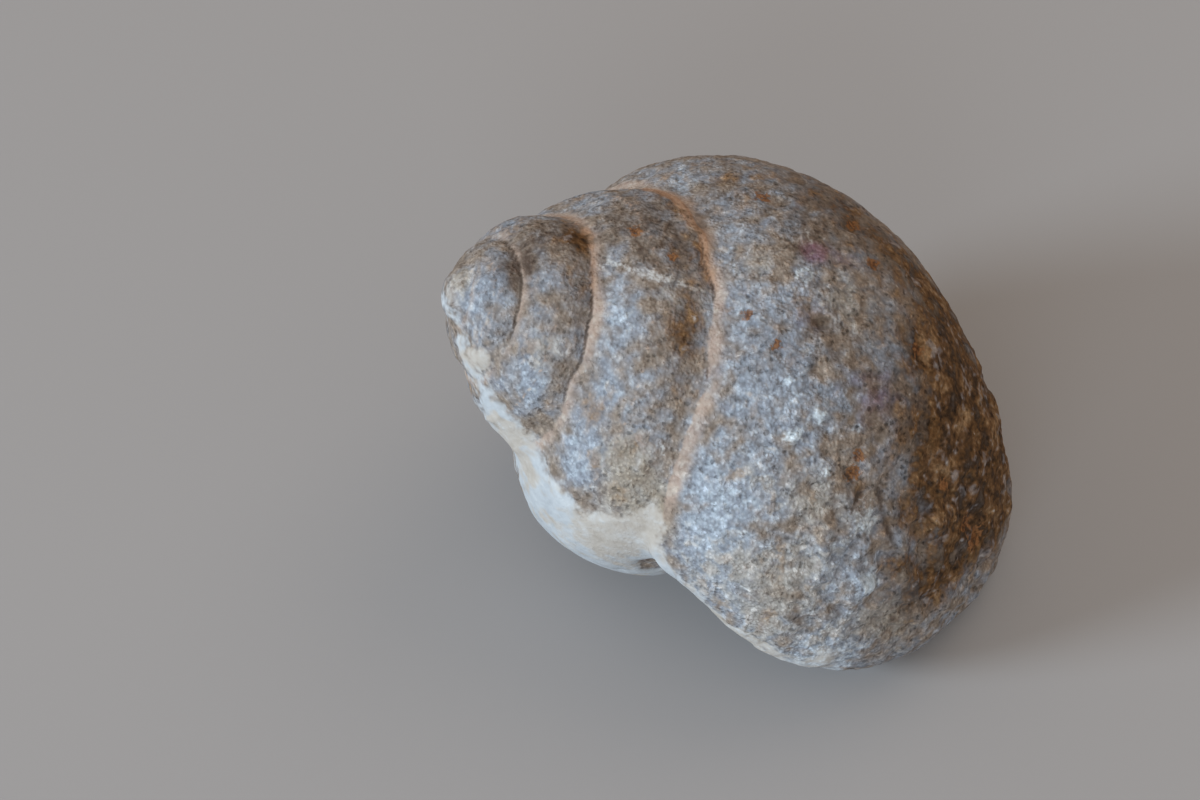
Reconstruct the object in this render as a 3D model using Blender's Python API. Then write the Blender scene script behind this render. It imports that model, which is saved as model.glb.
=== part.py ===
"""Internal mould of a fossil snail: the stone that filled the hollow of a coiled shell.

The mould is one solid of limestone. An oval section turns about the coiling axis, slides down it
and grows by a fixed ratio in each turn, as a snail grows. Sweeping that section gives the whorls,
which are fused into one skin and worn smooth. The stone lies on its aperture, with its apex
towards -X and its body whorl towards +X, and rests on small flats at z = 0.

Metres, +Z up. The origin is on the resting plane, under the middle of the stone's box.
"""
import math

import bmesh
import bpy
from mathutils import Matrix, Vector

MM = 0.001
NAME = "fossil_mould"

# The growth law, with sizes as they are at the lip. Turns are counted from the lip and are
# negative towards the apex.
TURNS = 3.77
GROWTH_PER_TURN = 1.590
COIL_RADIUS = 9.9 * MM
COIL_RADIUS_POWER = 0.83
COIL_DROP = 55.3 * MM
COIL_DROP_POWER = 1.36
SECTION_HALF_WIDTH = 22.9 * MM
SECTION_HALF_HEIGHT = 26.2 * MM
SECTION_LEAN = math.radians(25.3)

# Over its last turn the tube leaves the regular coil by this much.
FREE_TURNS = 0.79
FREE_RADIUS = -3.8 * MM
FREE_DROP = -6.8 * MM
FREE_WIDTH = 0.05
FREE_HEIGHT = 0.08

# Swellings of the stone: turn, degrees round the section from its outer side towards the apex,
# reach in turns, reach in degrees, and height as a share of the section.
SWELLINGS = (
    (-0.93, 15.0, 0.16, 60.0, 0.21),
    (-0.47, 80.0, 0.12, 45.0, 0.11),
    (-0.13, -45.0, 0.14, 40.0, 0.18),
    (0.00, 10.0, 0.10, 45.0, 0.15),
    (-0.05, -70.0, 0.12, 35.0, -0.06),
    (-0.30, 105.0, 0.12, 40.0, -0.09),
    (-1.48, 70.0, 0.14, 45.0, 0.05),
    (-2.48, 70.0, 0.20, 60.0, 0.08),
    (-2.88, 70.0, 0.14, 50.0, -0.07),
)

# The broken lip, in turns: the tube runs a little past the lip while its edge rounds over down to
# the mouth, a share of the section. The edge on the side of the coiling axis, centred on this
# angle round the section, is worn back further than the rest.
LIP_LENGTH = 0.04
LIP_EDGE = 0.05
LIP_INNER_EDGE = 0.20
LIP_INNER_ANGLE = math.radians(240.0)
LIP_MOUTH = 0.5

# The first turn starts as a dome of this many turns.
APEX_ROUND = 0.3

# The stone that fills the dimple in the top of the spire: an ellipsoid on the coiling axis.
APEX_HALF_WIDTH = 4.6 * MM
APEX_HALF_HEIGHT = 5.4 * MM
APEX_SEGMENTS = 32

# Near the coiling axis the section bends round instead of crossing to the other side, and reaches
# a little past the axis so that the whorls fuse there. Both are sizes at the lip.
AXIS_BEND = 6.0 * MM
AXIS_OVERLAP = 1.6 * MM

# The way the stone lies: the rise of the coiling axis over the ground, its swing towards -Y, where
# round the axis the lip is, and how much of the stone's underside is flattened.
AXIS_RISE = math.radians(30.0)
AXIS_SWING = math.radians(7.7)
LIP_BEARING = math.radians(167.1)
FLAT_DEPTH = 1.2 * MM

# Fineness of the swept tube and of the fused skin, and the distances at which points meet.
RINGS_PER_TURN = 72
SECTION_SIDES = 64
SKIN_CELL = 0.5 * MM
WEAR_PASSES = 30
SKIN_TRIANGLES = 7000
SEAM_WELD = 0.001 * MM
FLAT_WELD = 0.02 * MM

STONE_COLOUR = (0.23, 0.21, 0.20, 1.0)
STONE_ROUGHNESS = 0.9


def smooth_step(value):
    """Ease a value from 0 to 1."""
    value = min(max(value, 0.0), 1.0)
    return value * value * (3.0 - 2.0 * value)


def swelling(turn, angle):
    """Return the section's local scale at a turn and at an angle round it."""
    scale = 1.0
    for centre_turn, centre_angle, turns, degrees, height in SWELLINGS:
        away = (math.degrees(angle) - centre_angle + 180.0) % 360.0 - 180.0
        scale += height * math.exp(-((turn - centre_turn) / turns) ** 2 - (away / degrees) ** 2)
    return scale


def end_scale(turn, angle):
    """Return the section's scale where the tube closes, at the blunt apex and round the lip."""
    from_apex = min((turn + TURNS) / APEX_ROUND, 1.0)
    inner = (1.0 + math.cos(angle - LIP_INNER_ANGLE)) / 2.0
    edge = LIP_EDGE + (LIP_INNER_EDGE - LIP_EDGE) * inner ** 2
    past_edge = max(turn - (LIP_LENGTH - edge), 0.0) / edge
    apex = math.sqrt(max(1.0 - (1.0 - from_apex) ** 2, 0.0))
    lip = LIP_MOUTH + (1.0 - LIP_MOUTH) * math.sqrt(max(1.0 - past_edge ** 2, 0.0))
    return apex * lip


def coil_point(turn, angle):
    """Return a point of the tube, with the coiling axis along +Z and the apex at the origin."""
    size = GROWTH_PER_TURN ** turn
    free = smooth_step(1.0 + turn / FREE_TURNS)
    radius = COIL_RADIUS * size ** COIL_RADIUS_POWER + FREE_RADIUS * free
    drop = COIL_DROP * size ** COIL_DROP_POWER + FREE_DROP * free
    scale = size * swelling(turn, angle) * end_scale(turn, angle)
    across = SECTION_HALF_WIDTH * (1.0 + FREE_WIDTH * free) * scale * math.cos(angle)
    along = SECTION_HALF_HEIGHT * (1.0 + FREE_HEIGHT * free) * scale * math.sin(angle)
    reach = radius + across * math.cos(SECTION_LEAN) + along * math.sin(SECTION_LEAN)
    reach = (reach + math.hypot(reach, AXIS_BEND * size)) / 2.0 - AXIS_OVERLAP * size
    height = along * math.cos(SECTION_LEAN) - across * math.sin(SECTION_LEAN) - drop
    bearing = LIP_BEARING - math.tau * turn
    return Vector((reach * math.cos(bearing), reach * math.sin(bearing), height))


def resting_frame():
    """Return the turn that brings the coiling axis from +Z to the way the stone lies."""
    level = math.cos(AXIS_RISE)
    axis = Vector((-level * math.cos(AXIS_SWING), -level * math.sin(AXIS_SWING), math.sin(AXIS_RISE)))
    first = axis.cross(Vector((0.0, 0.0, 1.0))).normalized()
    second = axis.cross(first)
    return Matrix((first, second, axis)).transposed().to_4x4()


def swept_tube():
    """Bend a flat grid into the coiled tube, close its seam and cap its ends."""
    bm = bmesh.new()
    rings = round((TURNS + LIP_LENGTH) * RINGS_PER_TURN)
    bmesh.ops.create_grid(bm, x_segments=rings, y_segments=SECTION_SIDES, size=0.5)
    for vert in bm.verts:
        turn = (vert.co.x + 0.5) * (TURNS + LIP_LENGTH) - TURNS
        vert.co = coil_point(turn, math.tau * vert.co.y)
    bmesh.ops.remove_doubles(bm, verts=bm.verts, dist=SEAM_WELD)
    bmesh.ops.holes_fill(bm, edges=bm.edges, sides=0)
    apex = Matrix.Translation((0.0, 0.0, coil_point(-TURNS, 0.0).z))
    round_off = Matrix.Diagonal((APEX_HALF_WIDTH, APEX_HALF_WIDTH, APEX_HALF_HEIGHT, 1.0))
    bmesh.ops.create_uvsphere(
        bm, u_segments=APEX_SEGMENTS, v_segments=APEX_SEGMENTS // 2, radius=1.0,
        matrix=apex @ round_off)
    bmesh.ops.recalc_face_normals(bm, faces=bm.faces)
    bmesh.ops.transform(bm, matrix=resting_frame(), verts=bm.verts)
    return bm


def fused_skin(bm):
    """Fuse the overlapping whorls into one skin, wear it smooth and thin out its faces."""
    mesh = bpy.data.meshes.new(NAME)
    bm.to_mesh(mesh)
    bm.free()
    stone = bpy.data.objects.new(NAME, mesh)
    bpy.context.collection.objects.link(stone)
    fuse = stone.modifiers.new("fuse", "REMESH")
    fuse.mode = "VOXEL"
    fuse.voxel_size = SKIN_CELL
    wear = stone.modifiers.new("wear", "SMOOTH")
    wear.iterations = WEAR_PASSES
    thin = stone.modifiers.new("thin", "DECIMATE")
    graph = bpy.context.evaluated_depsgraph_get()
    faces = len(stone.evaluated_get(graph).data.polygons)
    thin.ratio = SKIN_TRIANGLES / (2.0 * faces)
    graph.update()
    skin = bpy.data.meshes.new_from_object(stone.evaluated_get(graph))
    stone.modifiers.clear()
    stone.data = skin
    return stone


def lay_down(stone):
    """Set the stone on z = 0, cut its resting flats and centre it over the origin."""
    bm = bmesh.new()
    bm.from_mesh(stone.data)
    ground = min(vert.co.z for vert in bm.verts) + FLAT_DEPTH
    bmesh.ops.translate(bm, verts=bm.verts, vec=(0.0, 0.0, -ground))
    bmesh.ops.bisect_plane(
        bm, geom=bm.verts[:] + bm.edges[:] + bm.faces[:], dist=FLAT_WELD,
        plane_co=(0.0, 0.0, 0.0), plane_no=(0.0, 0.0, -1.0), clear_outer=True)
    bmesh.ops.holes_fill(bm, edges=bm.edges, sides=0)
    bmesh.ops.triangulate(bm, faces=bm.faces)
    middle = [
        (min(vert.co[side] for vert in bm.verts) + max(vert.co[side] for vert in bm.verts)) / 2.0
        for side in (0, 1)]
    bmesh.ops.translate(bm, verts=bm.verts, vec=(-middle[0], -middle[1], 0.0))
    bm.to_mesh(stone.data)
    bm.free()


def limestone():
    """Return the plain grey limestone of the mould."""
    material = bpy.data.materials.new("limestone")
    material.use_nodes = True
    shader = material.node_tree.nodes["Principled BSDF"]
    shader.inputs["Base Color"].default_value = STONE_COLOUR
    shader.inputs["Roughness"].default_value = STONE_ROUGHNESS
    shader.inputs["Metallic"].default_value = 0.0
    material.diffuse_color = STONE_COLOUR
    return material


def main():
    """Build the mould."""
    for old in list(bpy.data.objects):
        bpy.data.objects.remove(old, do_unlink=True)
    stone = fused_skin(swept_tube())
    lay_down(stone)
    stone.data.materials.clear()
    stone.data.materials.append(limestone())
    stone.data.shade_smooth()


main()
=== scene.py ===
"""The looks of a fossil snail mould: worn grey limestone with sediment left in its sutures.

The stone is swept along the same growth law as its solid, at a fineness that can hold pits and
grain, and stands in for that solid. Then it is carved: sutures, chalky crust, lumps, pits, a vein,
the broken lip. Fields that follow the surface are kept as attributes, and the stone's material
reads them. The file is laid out as an add-on and is run as a script. Sizes are in millimetres,
except for the stage's, which are in metres.
"""
import math
import random
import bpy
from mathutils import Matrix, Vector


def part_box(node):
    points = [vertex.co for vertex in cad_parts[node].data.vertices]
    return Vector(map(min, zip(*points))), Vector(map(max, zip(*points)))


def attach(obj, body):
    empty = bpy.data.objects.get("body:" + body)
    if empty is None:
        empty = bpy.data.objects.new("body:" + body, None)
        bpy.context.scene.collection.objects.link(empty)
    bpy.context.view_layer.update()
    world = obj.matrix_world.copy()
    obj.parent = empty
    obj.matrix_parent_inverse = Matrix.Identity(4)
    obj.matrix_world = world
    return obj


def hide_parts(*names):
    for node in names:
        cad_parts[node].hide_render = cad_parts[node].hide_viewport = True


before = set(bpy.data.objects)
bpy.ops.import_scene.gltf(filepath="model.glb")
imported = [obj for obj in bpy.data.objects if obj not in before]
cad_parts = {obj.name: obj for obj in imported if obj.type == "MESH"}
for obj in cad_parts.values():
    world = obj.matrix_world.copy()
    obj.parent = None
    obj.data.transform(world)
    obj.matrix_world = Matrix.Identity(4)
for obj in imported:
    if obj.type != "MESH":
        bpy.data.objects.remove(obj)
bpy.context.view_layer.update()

from types import SimpleNamespace

import bmesh
import bpy
import numpy as np
from bpy.props import FloatProperty, FloatVectorProperty, IntProperty, PointerProperty
from mathutils import Matrix, Vector, noise
from mathutils.kdtree import KDTree

bl_info = {
    "name": "Fossil Snail Mould",
    "version": (1, 0, 0),
    "blender": (4, 5, 0),
    "location": "View3D > Sidebar > Fossil",
    "description": "Models a worn limestone mould of a coiled snail shell on a plain surface",
    "category": "Object",
}

MM = 0.001
NODE = "fossil_mould"
PIECE = "limestone_mould"

# The growth law of the solid, with sizes as they are at the lip. Turns are counted from the lip
# and are negative towards the apex.
TURNS = 3.77
GROWTH_PER_TURN = 1.590
COIL_RADIUS = 9.9
COIL_RADIUS_POWER = 0.83
COIL_DROP = 55.3
COIL_DROP_POWER = 1.36
SECTION_HALF_WIDTH = 22.9
SECTION_HALF_HEIGHT = 26.2
SECTION_LEAN = math.radians(25.3)
FREE_TURNS = 0.79
FREE_RADIUS = -3.8
FREE_DROP = -6.8
FREE_WIDTH = 0.05
FREE_HEIGHT = 0.08
# Swellings of the section: turn, angle, how many turns and degrees they reach, and height.
SWELLINGS = (
    (-0.93, 15.0, 0.16, 60.0, 0.21), (-0.47, 80.0, 0.12, 45.0, 0.11),
    (-0.13, -45.0, 0.14, 40.0, 0.18), (0.00, 10.0, 0.10, 45.0, 0.15),
    (-0.05, -70.0, 0.12, 35.0, -0.06), (-0.30, 105.0, 0.12, 40.0, -0.09),
    (-1.48, 70.0, 0.14, 45.0, 0.05), (-2.48, 70.0, 0.20, 60.0, 0.08),
    (-2.88, 70.0, 0.14, 50.0, -0.07),
)
LIP_LENGTH = 0.04
LIP_EDGE = 0.05
LIP_INNER_EDGE = 0.20
LIP_INNER_ANGLE = math.radians(240.0)
LIP_MOUTH = 0.5
APEX_ROUND = 0.3
APEX_HALF_WIDTH = 4.6
APEX_HALF_HEIGHT = 5.4
APEX_SEGMENTS = 64
AXIS_BEND = 6.0
AXIS_OVERLAP = 1.6
AXIS_RISE = math.radians(30.0)
AXIS_SWING = math.radians(7.7)
LIP_BEARING = math.radians(167.1)
RINGS_PER_TURN = 150
SECTION_SIDES = 132

# Patches on the stone: place, radius and strength. A strength below 0 leaves a gap.
# The chalky crust is real. Where it runs down onto the underside of the spire, it also stands in
# for the light that the floor throws up there: painted light.
CHALK_CRUST = (
    (-33, -2, 37, 2.4, 0.6), (-31.4, -3, 39.2, 1.8, 0.35), (-28.8, -7.9, 34.6, 1.3, 0.8),
    (-32, -6.5, 34, 2.4, 0.8), (-30.5, -9, 31, 2.4, 0.9), (-28.5, -11, 27.5, 2.8, 1.1),
    (-26, -11.5, 24, 3.8, 1.3), (-23, -14, 19.5, 4.6, 1.3), (-19, -18.5, 17.5, 4.8, 1.3),
    (-13.5, -21, 17, 4.6, 1.3), (-12.5, -19.8, 22, 2.6, 0.6), (-9.3, -20.5, 22.5, 2.4, 1),
    (-8.6, -20.3, 25, 1.6, 0.9), (12.1, -27.8, 9, 3.5, 0.6), (5, -27.5, 11, 3, 0.4),
    (-8.4, -19.3, 14, 2.6, -1.3), (-9, -21, 16, 3.8, 1.2), (-18, -14, 11, 6, 1.2),
    (-10, -17, 10, 4, 1), (-26, -2, 20, 6, 1.1), (-24, 14, 17, 5, 0.8), (8, 27, 14, 6, 0.7),
)
RUST_STAINS = (
    (28, 3, 22, 7, 0.5), (25, 11, 26, 7, 0.5), (29, -8, 8, 5, 0.5), (-18.4, -4, 42.2, 2.6, 0.35),
    (-7.5, -9, 41.5, 3, 0.35), (27, -10, 24, 8, 0.35), (-9.2, -19.9, 15.6, 1.2, 1),
    (13.5, -19.6, 30.4, 1.4, 0.8), (20.5, -16, 27, 4, 0.4), (17.5, -19, 27, 2, 0.4),
    (18, -13, 33, 4, 0.3), (19, -22.8, 21, 2, 0.5), (-7.5, 1.5, 44, 2, 0.5),
    (-7, -5.5, 42.8, 2.2, 0.5), (-7.2, -8.5, 41.4, 2.2, 0.6), (-6.9, -12.5, 38, 2, 0.5),
    (-7.9, -15.5, 34.5, 1.8, 0.4), (-19.3, 2.5, 43.7, 2, 1.3), (21.7, 4.6, 35.1, 7, 1),
    (19.1, -4.7, 37.2, 3, 0.9), (24, -3, 32, 6, 0.8), (27, -8, 27, 6, 1), (30.5, -6, 22, 7, 1.2),
    (31.5, -10, 15.5, 5, 1), (27.3, -14.9, 18.3, 3.5, 0.9), (24.8, -18.2, 17, 4.5, 1),
    (22, -21.5, 15.5, 3.5, 0.6), (22, -12, 31, 4.5, 0.7), (23, -15.5, 25, 4.5, 0.8),
    (19, -21, 21, 4, 0.4), (15, 8, 40, 6, 0.6), (10, 14, 42, 6, 0.5), (20, 20, 20, 9, 0.7),
    (-6, 24, 25, 7, 0.6), (-2, 15, 44, 3, 0.4),
)
DARK_BODY = (
    (-28.5, -4, 41, 2.5, 0.5), (-25.5, -1.5, 42.3, 2.4, 2.3), (-18.4, -4, 42.2, 2.8, 0.6),
    (2.7, -11.5, 40.5, 3.5, 0.5), (8.8, -15, 37.7, 3.5, 0.4), (-11.5, 7, 44.5, 4, 1),
    (-21, 3.5, 44, 3, 0.8), (-7, 0, 44.5, 3, 0.7), (15, -9, 38, 5, 0.8), (22, -10, 32, 6, 1),
    (28, -5, 27, 7, 0.7), (28, -12, 18, 6, 0.9), (6, 5, 44.5, 4, 0.9), (8, 13, 42, 7, 1),
    (7, -6, 43, 3.5, 0.7), (-24, 2.5, 43.5, 3, 1), (-9.5, 2, 45, 4, 1), (-16, 4, 44, 2.5, 0.8),
    (-5, -9, 39.5, 2.5, 0.2), (17, -20, 26, 4, 0.7), (21, -22.5, 16, 4.5, 1.2),
    (17, -11, 35.5, 4, 0.6), (24, 12, 25, 8, 0.8), (-2, 12, 44, 4, 0.6),
)
BLUE_PATINA = (
    (-4.5, -20.5, 27.5, 3, 0.8), (15, -25, 18, 5, 0.5), (-31, -3, 39, 2.4, 1),
    (-23, -9.5, 36.5, 2.2, 0.4), (-14, -8, 41.5, 3.5, 0.8), (14.5, -9, 39, 4, 0.6),
    (8, -3, 43, 3.5, 0.4), (12.1, -27.8, 10, 4, 1), (-28.5, -4, 41, 2.8, 1.2),
    (-24.5, -11, 34.5, 3, 0.9), (-23, -3, 42.5, 2, 0.5), (-14.5, -6, 42, 3, 0.6),
    (-13, -13, 37.5, 3.5, 0.6), (-17.2, -16.3, 29.5, 2.4, 1.3), (-17.5, -17, 26.5, 1.8, 0.8),
    (-2, 4, 43.5, 3, 0.6), (-1, -6, 42.7, 3, 0.6), (-0.5, -12, 40, 4, 0.9), (6, -14, 38.5, 4, 0.6),
    (4, -14, 39, 3, 0.3), (0, -21, 31, 6.5, 0.9), (-1, -25, 20, 6, 1), (5, -27, 12, 6, 0.9),
    (12, -26, 9, 5, 1.2), (11, -24, 23, 5.5, 1), (-3, -20, 31, 3.5, 0.5), (-2, -23.5, 24, 4.5, 0.6),
    (2, -12, 40.5, 3, 0.3), (9, -15, 37, 2.2, 0.8), (-10, 14, 42, 4, 0.7),
)
TAN_SILT = (
    (5, -26.5, 14, 6, 0.7), (-2, -23, 20, 4, 0.4), (-7, -4.5, 43, 4, 0.5),
    (-18.5, -2.5, 42, 3, 0.5), (-31.5, -1.5, 39.5, 1.9, 1), (-29.3, -8, 34, 1.5, 1),
    (-25.8, -10.8, 26, 2, 0.9), (-24.4, -11.8, 21.5, 2, 0.8), (-8.6, -20.6, 24.5, 3, 1),
    (1, 0.3, 44.5, 2.3, 0.7), (10.7, -3, 42.6, 4, 0.7), (-10, -18.5, 27, 4, 0.7),
    (-12.4, -17.4, 31, 3, 1), (-13.5, -18.5, 26, 2.4, 0.6), (-22, -9, 37, 2.6, 0.5),
    (-14, -19.5, 20, 3, 0.7), (1, -20, 31.5, 3, 0.4), (8, -21, 30, 4, 0.6), (14, -21, 28, 4, 0.3),
    (6, -25, 22, 5, 0.8), (16, -25.5, 15, 4, 0.5), (1, -25, 24, 3, 0.4), (19.5, -23.5, 13, 4, 0.5),
    (20, -24, 8, 4, 0.4), (24, -2, 33, 3, 0.5), (-10, 20, 30, 5, 0.8), (24, 14, 14, 5, 0.7),
)
VIOLET_TINTS = (
    (7, 2.3, 44.4, 1.5, 1.5), (10.5, 2, 43.3, 1.5, 0.5), (14.6, -12, 37, 3.5, 0.5),
    (6.6, -5.4, 42.9, 3, 0.3),
)
PALE_BLOBS = (
    (14.2, -21, 27.8, 1.8, 0.6), (15.4, -24.3, 20.9, 1.5, 0.6), (11.6, -23.6, 25.6, 1.3, 0.5),
    (8.2, -15.2, 37.5, 1, 1), (5.5, -17.2, 36.3, 1.1, 0.9), (4.6, -12.6, 40, 0.7, 0.8),
    (12.5, -15.2, 35.6, 0.7, 0.7), (9.5, -19.5, 33, 0.9, 0.7), (14, -21, 26.5, 1.2, 0.6),
    (15.5, -24.5, 20, 1, 0.8), (1.5, -25.7, 19.5, 1, 0.8), (-1, -21.8, 28, 1, 0.7),
    (1, -23.3, 26.5, 0.9, 0.6), (-13.5, 3, 44.4, 0.5, 0.5),
)

# Stretches of a suture that rust follows: place, radius and strength.
RUST_LINES = (
    (-17, -1.5, 42, 3, 1.2), (-13, 12.5, 42, 4, 1.5), (-8.5, 9.5, 43, 3.5, 1.7),
    (-6, 6, 43.2, 3, 1.7), (-5, 2.5, 43.4, 3, 1.6), (-4.6, -1.5, 43, 2.6, 1.1),
    (-4.5, -11.5, 39.2, 2, 0.7), (-17.5, 4, 43.2, 2.6, 1.7), (-22, 7, 42, 3, 1.2),
)

# Iron spots: place, radius, and the depth of the pit that each sits in.
IRON_SPOTS = (
    (12.9, -17.1, 33.4, 0.7, 0.25), (12.4, -18.6, 32.1, 0.9, 0.45), (3.1, -9.3, 41.9, 0.7, 0.15),
    (-0.1, -6, 42.8, 0.7, 0.15), (-12.9, 3.7, 44.5, 0.8, 0.15), (-8.6, 0.1, 44.3, 0.6, 0.2),
    (23, -14.6, 26.1, 0.8, 0.35), (27, -15.2, 19.8, 1.2, 0.35), (27.9, -14.6, 17, 1.5, 0.45),
    (19.1, -4.7, 37.2, 1, 0.2), (11.3, 9.3, 41.9, 1, 0.4), (13.8, 3.4, 41.7, 0.8, 0.4),
    (1.1, 10.4, 44, 0.9, 0.3), (20, 22, 18, 1.2, 0.4), (-20, 14, 24, 1, 0.3),
)

# A ring that a broken shell left: place and radius.
SHELL_RINGS = (
    (5.8, -1.2, 44.3, 0.85),
)

# Raised ridges low in front: the two ends, half width and height.
RIDGES = (
    ((9.8, -23.2, 28), (10.5, -25.4, 22.5), 1.1, 0.6),
    ((13.2, -22, 27), (15, -25.2, 19.5), 1.3, 0.7),
    ((17, -19.2, 27.5), (19, -22.5, 19), 1.2, 0.7),
    ((5.5, -25.2, 22), (6.5, -27, 14), 1.4, 0.5),
    ((22.5, -17.5, 23), (23.5, -20.3, 15), 1.2, 0.5),
)

# Places where the sediment in a suture is thin: place, radius and how thin.
BAND_GAPS = (
    (-4.2, -12.6, 38.4, 1.1, 0.9), (-8, -21.5, 22, 2.5, 0.7), (-21.5, -13.5, 32, 2.5, 0.5),
    (-27, 5, 41, 5, 0.4), (-26.5, -9, 35.5, 2.5, 0.4),
)

# Places where a suture shows as a thin dark line, carved and painted dark as shade: place, radius
# and strength.
SUTURE_LINES = (
    (-26.5, 2, 42, 3.2, 1), (-24.9, -3, 42.3, 3, 1), (-25.1, -6.8, 39.5, 2.4, 0.8),
    (-17.3, -2, 42.6, 2.4, 0.5), (-17.3, -6, 41.2, 2.6, 0.9), (-17.8, -9.7, 38.6, 2.8, 1),
    (-20, -12.5, 34.5, 2.6, 0.5), (-5, 0.5, 43.2, 2.6, 0.6), (-3.8, -3, 42.5, 1.8, 0.6),
    (-5, -12, 39, 1.6, 0.6),
)

# Crust that fills the notch of a suture: place, radius and thickness.
NOTCH_FILLS = (
    (-5.2, 2.5, 43, 3.5, 0.7), (-6.5, 7, 42.8, 3.5, 0.9), (-10.5, 11, 42.3, 3.5, 0.7),
    (-25.2, -10.8, 24, 3, 1.3), (-31, -7, 32, 2.2, 0.5),
)

# Broad worn hollows: place, radius and depth.
HOLLOWS = (
    (-2.5, -27, 14.5, 6, 1), (-8, -20, 13, 3.5, 0.5), (-27, -11.5, 29.5, 3, 0.5),
    (-31.5, -6.5, 35, 3, 0.6), (-2, 14, 44.5, 7, 0.3), (-20, 11.5, 40.5, 3.5, 0.7),
)

# Where the line of a suture lies beside its valley: place, radius and how far.
LINE_SHIFTS = (
    (-13, 10.5, 42.8, 3.5, -2.4), (-7.2, 6, 43.3, 3, -1.6), (-5.2, 0.7, 43.2, 2.8, -1.2),
    (-4.2, -12.6, 38.2, 3.5, 0.6), (-8.3, -21.5, 23, 4.5, 1), (-17.3, -2, 42.6, 3.5, -0.8),
    (-17.4, -8, 40, 3.5, -0.8), (-19, -11.8, 35.5, 3.2, -1.1),
)

# Calcite veins and a scratch: the two ends, half width and height.
VEINS = (
    ((-15.6, -0.4, 43.3), (-11.9, -2.1, 44), 0.60, 0.04),
    ((-11.9, -2.1, 44), (-8.6, -3, 43.9), 0.75, 0.08),
    ((-8.6, -3, 43.9), (-5, -3.4, 43), 0.50, 0.12),
    ((-2, -4.4, 42.5), (1.5, -5.4, 43.1), 0.16, 0.04),
    ((-9.3, -16.2, 34.4), (-8.2, -17.7, 32), 0.22, 0.06),
    ((12.6, -6.6, 40.9), (14.2, -7.2, 39.8), 0.18, 0.10),
    ((6, 5.4, 44.6), (6.6, 3.4, 44.5), 0.30, 0.05),
)

# Cracks: the two ends, half width and depth. Their grooves are painted dark as shade.
CRACKS = (
    ((10.9, -18.5, 33.3), (13.5, -19.8, 30.2), 0.22, 0.30),
    ((13.5, -19.8, 30.2), (12.5, -21.8, 28.6), 0.24, 0.30),
    ((9.5, -22.7, 29.3), (10.2, -24, 26.8), 0.22, 0.35),
    ((15.5, -18.9, 30), (16.8, -21, 26.6), 0.40, 0.40),
    ((16.8, -21, 26.6), (18.9, -22.8, 21.5), 0.45, 0.35),
    ((3.6, -12.2, 40.2), (3.7, -13.8, 39.2), 0.16, 0.20),
)

# Worn facets: a point on the plane and the way that it faces.
FACETS = (
    ((26.9, -18.5, 6.2), (0.72, -0.62, -0.32)),
)

# How a suture is found on the skin: the least jump in turns across it, how far its line is
# averaged, and the passes that soften the distances from it.
SEAM_TURNS = 0.5
SEAM_REACH = 1.2
SEAM_PASSES = 8

# How the valley along a suture is rounded. Its width is at the lip, and shrinks with the whorls.
VALLEY_PASSES = 36
VALLEY_WIDTH = 2.6
VALLEY_POWER = 0.6
VALLEY_EASE = 0.85

# Where changes begin and are complete. Across and down the stone: where lumps come in, on its
# underside too, and where the grain grows coarse, and fine again behind. In turns: where the lip
# is calm, chipped and chalky. From a suture: where its line is shifted.
LUMPS_ACROSS = (-6.0, 10.0)
LUMPS_DOWN = (34.0, 20.0)
LUMPS_UNDER = (8.0, -4.0)
COARSE_ACROSS = (-14.0, 12.0)
FINE_BEHIND = (8.0, 24.0)
LIP_CALM = (-0.05, 0.0)
LIP_CHIPPED = (-0.035, -0.005)
LIP_CHALKY = (-0.012, 0.008)
SHIFTED = (6.0, 2.0)

# The sediment in the sutures, the crust, and the relief of what lies on the stone.
BAND_WIDTH = 1.9
BAND_POWER = 0.8
LEDGE_HEIGHT = 0.22
NOTCH_WIDTH = 2.0
CRUST_HEIGHT = 0.25
BLOB_HEIGHT = 0.25
RING_HALF_WIDTH = 0.28
RING_HEIGHT = 0.12

# The share of the stone past a facet that is left.
FACET_LEFT = 0.12

# The strewn pits: the seed of their draws, their least radius and depth, and how far these vary.
# A pit's depth is a share of its radius.
PIT_SEED = 11
PIT_RADIUS = 0.28
PIT_RADIUS_SPREAD = 0.9
PIT_DEPTH = 0.2
PIT_DEPTH_SPREAD = 0.35

# The noise fields of the relief: the field's number, its grain size and its octaves. Each number
# moves its field away from the others.
FIELD_STEP = 37.7
NOISE_FIELDS = {
    "band width": (1, 6.0, 1),
    "ragged": (2, 1.6, 3),
    "chalk": (3, 4.0, 3),
    "waves": (4, 13.0, 1),
    "small waves": (5, 6.0, 1),
    "lumps": (6, 3.2, 2),
    "pocks": (7, 1.7, 3),
    "grain": (8, 1.2, 1),
    "fine grain": (9, 0.85, 1),
    "band cover": (10, 4.0, 1),
    "lip chips": (12, 2.6, 2),
    "lump gaps": (13, 2.1, 2),
    "suture line": (14, 3.0, 1),
    "lip chalk": (15, 3.0, 2),
}

# The height of the grain that is only in the material, in metres.
GRAIN_BUMP = 0.24 * MM

# The surface, in metres: its half width, and how far it lies below the stone, so that the two
# don't share a plane.
SURFACE_HALF_WIDTH = 3.0
SURFACE_DROP = 0.00005

# The soft round lamps: name, place and width in metres, the degrees that each shines over, and
# the settings of its power and its colour.
LAMPS = (
    ("key", (-1.70, -0.65, 0.67), 0.58, 70.0, "key_watts", "key_colour"),
    ("fill", (-0.15, -0.80, 0.28), 0.5, 180.0, "fill_watts", "key_colour"),
    ("overhead", (0.40, 0.45, 0.80), 0.7, 180.0, "overhead_watts", "warm_colour"),
)


# ---------------------------------------------------------------- shape


def smooth_step(value):
    """Ease a value from 0 to 1."""
    value = np.clip(value, 0.0, 1.0)
    return value * value * (3.0 - 2.0 * value)


def ramp(values, start, end):
    """Ease from 0 where a value is at start to 1 where it is at end."""
    return smooth_step((values - start) / (end - start))


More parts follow.
